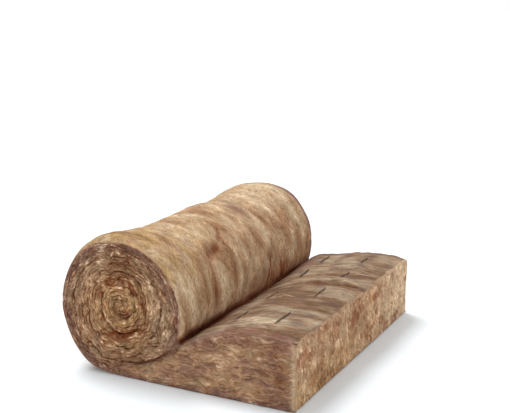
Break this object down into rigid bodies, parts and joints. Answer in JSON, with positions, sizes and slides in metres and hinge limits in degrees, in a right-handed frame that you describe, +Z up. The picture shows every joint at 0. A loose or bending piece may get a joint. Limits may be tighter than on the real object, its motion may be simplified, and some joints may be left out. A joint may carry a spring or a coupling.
{
  "type": "glass wool insulation roll",
  "caption": "Brown glass wool insulation blanket, half rolled up and half laid out flat, with spiral turns on the roll's ends and a straight cut end.",
  "frame": {"origin": "on the floor, in the middle of the blanket's bounding box as seen from above", "axes": "+Y along the blanket's width and the roll's axis, +X the way the blanket is unrolled, from the roll to the cut end, +Z up"},
  "size_m": [0.9735, 1.2, 0.517],
  "materials": {
    "glass_wool": "matte"
  },
  "bodies": {
    "root": {"wool_blanket": "glass_wool"}
  },
  "joints": []
}
